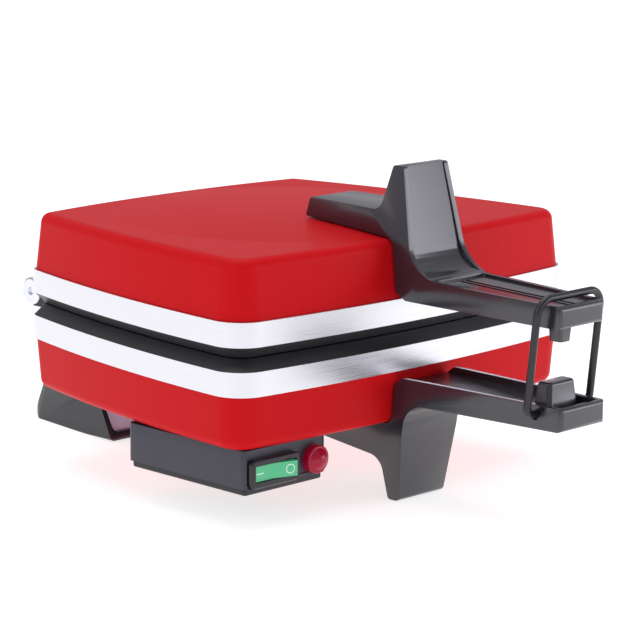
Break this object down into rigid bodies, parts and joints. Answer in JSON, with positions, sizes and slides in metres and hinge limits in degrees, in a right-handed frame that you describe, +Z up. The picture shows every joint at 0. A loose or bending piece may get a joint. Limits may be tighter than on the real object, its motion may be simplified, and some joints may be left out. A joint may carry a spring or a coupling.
{
  "type": "bubble waffle maker",
  "caption": "Countertop bubble waffle maker: red hinged halves with round-cell plates, long black handles held by a wire latch, rear foot and a control box.",
  "frame": {"origin": "on the table, in the middle of the whole object in X and Y", "axes": "+X to the user's right, +Y to the back (hinge side), +Z up"},
  "size_m": [0.229, 0.3464, 0.1593],
  "materials": {
    "red_paint": "satin gloss red enamel",
    "satin_aluminium": "satin",
    "plate_coating": "dark coated casting, satin",
    "heater_sheath": "dull, heat tinted",
    "inner_sheet": "mill finish",
    "fastener_steel": "zinc plated",
    "thermostat_body": "dark phenolic",
    "handle_black": "glossy black moulding",
    "bail_wire": "satin black",
    "foot_plastic": "glossy black moulding",
    "bright_bolt": "bright",
    "box_plastic": "dark grey, fine grain",
    "box_lid_plastic": "black, fine grain",
    "switch_frame_black": "glossy black",
    "rocker_green": "translucent green",
    "lamp_red": "translucent dark red",
    "gland_black": "matte black",
    "terminal_white": "matte off-white",
    "lead_sleeve": "silicone sleeve"
  },
  "bodies": {
    "base": {"lower_cover": "red_paint", "lower_band": "satin_aluminium", "lower_plate": "plate_coating", "lower_heater": "heater_sheath", "lower_heater_clamp": "inner_sheet", "lower_reflector": "inner_sheet", "lower_spacers": "fastener_steel", "lower_stack_screws": "fastener_steel", "lower_rim_screws": "fastener_steel", "thermostat": "thermostat_body", "lower_handle": "handle_black", "lower_handle_screws": "fastener_steel", "rear_foot": "foot_plastic", "rear_foot_screws": "fastener_steel", "hinge_bolts": "bright_bolt", "hinge_nuts": "fastener_steel", "control_box": "box_plastic", "control_box_lid": "box_lid_plastic", "box_lid_screws": "fastener_steel", "switch_frame": "switch_frame_black", "lamp_bezel": "lamp_red", "lamp_lens": "lamp_red", "cord_gland": "gland_black", "gland_nut": "gland_black", "terminal_block": "terminal_white", "internal_leads": "lead_sleeve"},
    "lid": {"upper_cover": "red_paint", "upper_band": "satin_aluminium", "upper_plate": "plate_coating", "upper_heater": "heater_sheath", "upper_heater_clamp": "inner_sheet", "upper_reflector": "inner_sheet", "upper_spacers": "fastener_steel", "upper_stack_screws": "fastener_steel", "upper_rim_screws": "fastener_steel", "safety_cutout": "thermostat_body", "upper_handle": "handle_black", "upper_handle_screws": "fastener_steel"},
    "latch": {"latch_bail": "bail_wire"},
    "rocker": {"switch_rocker": "rocker_green"}
  },
  "joints": [
    {"name": "lid_hinge", "type": "hinge", "parent": "base", "child": "lid", "pos_m": [0, 0.11458, 0.0829], "axis": [-1, 0, 0], "range_deg": [0, 180]},
    {"name": "latch_swing", "type": "hinge", "parent": "base", "child": "latch", "pos_m": [0, -0.15842, 0.0567], "axis": [1, 0, 0], "range_deg": [0, 160]},
    {"name": "rocker_tilt", "type": "hinge", "parent": "base", "child": "rocker", "pos_m": [-0.0874, -0.06252, 0.0261], "axis": [0, 0, 1], "range_deg": [0, 18]}
  ]
}
